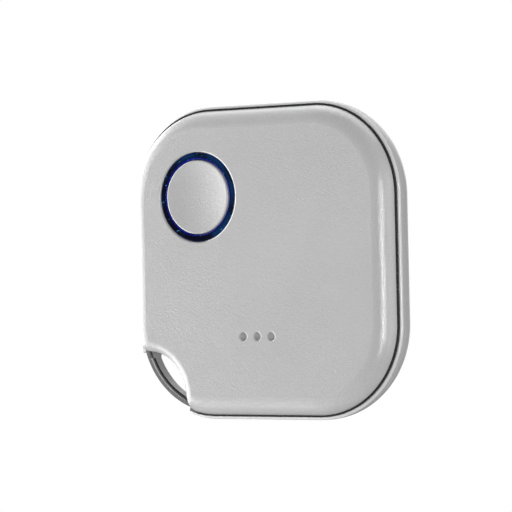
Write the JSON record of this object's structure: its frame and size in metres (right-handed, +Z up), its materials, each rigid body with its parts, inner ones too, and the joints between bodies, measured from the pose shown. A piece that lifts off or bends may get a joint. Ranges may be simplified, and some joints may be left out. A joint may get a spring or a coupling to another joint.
{
  "type": "smart button",
  "caption": "Slim square wireless push button with a lit ring round its round key, a sounder grille, a clip-on rear cover over a coin cell and a corner loop for a key ring.",
  "frame": {"origin": "middle of the flat rear face, which is stuck to a wall or another flat surface", "axes": "+Y out of the rear face, so the button faces -Y; +Z up and +X right for someone facing the button"},
  "size_m": [0.036, 0.006, 0.036],
  "materials": {
    "cover_plastic": "fine spark-eroded texture, satin",
    "frame_plastic": "smooth, smoke grey",
    "light_guide": "smooth blue light guide",
    "board_laminate": "solder mask",
    "black_moulding": "moulded",
    "spring_steel": "stamped",
    "led_resin": "clear resin",
    "ceramic_brown": "fired ceramic",
    "copper": "etched track",
    "gold_plate": "plated",
    "grey_mesh": "fine woven mesh",
    "foam": "closed cell",
    "brass": "rolled sheet",
    "ceramic_white": "silvered ceramic",
    "cell_steel": "nickel-plated"
  },
  "bodies": {
    "rear_shell": {"rear_cover": "cover_plastic"},
    "main_unit": {"front_cover": "cover_plastic", "mid_frame": "frame_plastic", "light_ring": "light_guide", "circuit_board": "board_laminate", "switch_base": "black_moulding", "switch_dome": "spring_steel", "switch_lid": "spring_steel", "status_leds": "led_resin", "radio_chip": "black_moulding", "radio_crystal": "spring_steel", "clock_crystal": "spring_steel", "board_passives": "ceramic_brown", "antenna_track": "copper", "test_pads": "gold_plate", "sound_mesh": "grey_mesh", "sounder_gasket": "foam", "sounder_plate": "brass", "sounder_ceramic": "ceramic_white", "sounder_springs": "gold_plate", "battery_cradle": "black_moulding", "positive_contact": "gold_plate", "negative_contact": "gold_plate", "cell_can": "cell_steel", "cell_cap": "cell_steel", "cell_gasket": "foam"},
    "key": {"button_cap": "cover_plastic"},
    "stem": {"switch_stem": "black_moulding"}
  },
  "joints": [
    {"name": "cover_release", "type": "slide", "parent": "rear_shell", "child": "main_unit", "axis": [0, -1, 0], "range_m": [0, 0.005]},
    {"name": "key_press", "type": "slide", "parent": "main_unit", "child": "key", "axis": [0, 1, 0], "range_m": [0, 0.0002], "stiffness_N_per_m": 8000, "springref_m": -0.00002},
    {"name": "switch_travel", "type": "slide", "parent": "main_unit", "child": "stem", "axis": [0, 1, 0], "range_m": [0, 0.0002], "deforming": ["switch_dome"]}
  ],
  "couplings": [
    {"joint": "switch_travel", "follows": "key_press", "ratio": 1}
  ]
}
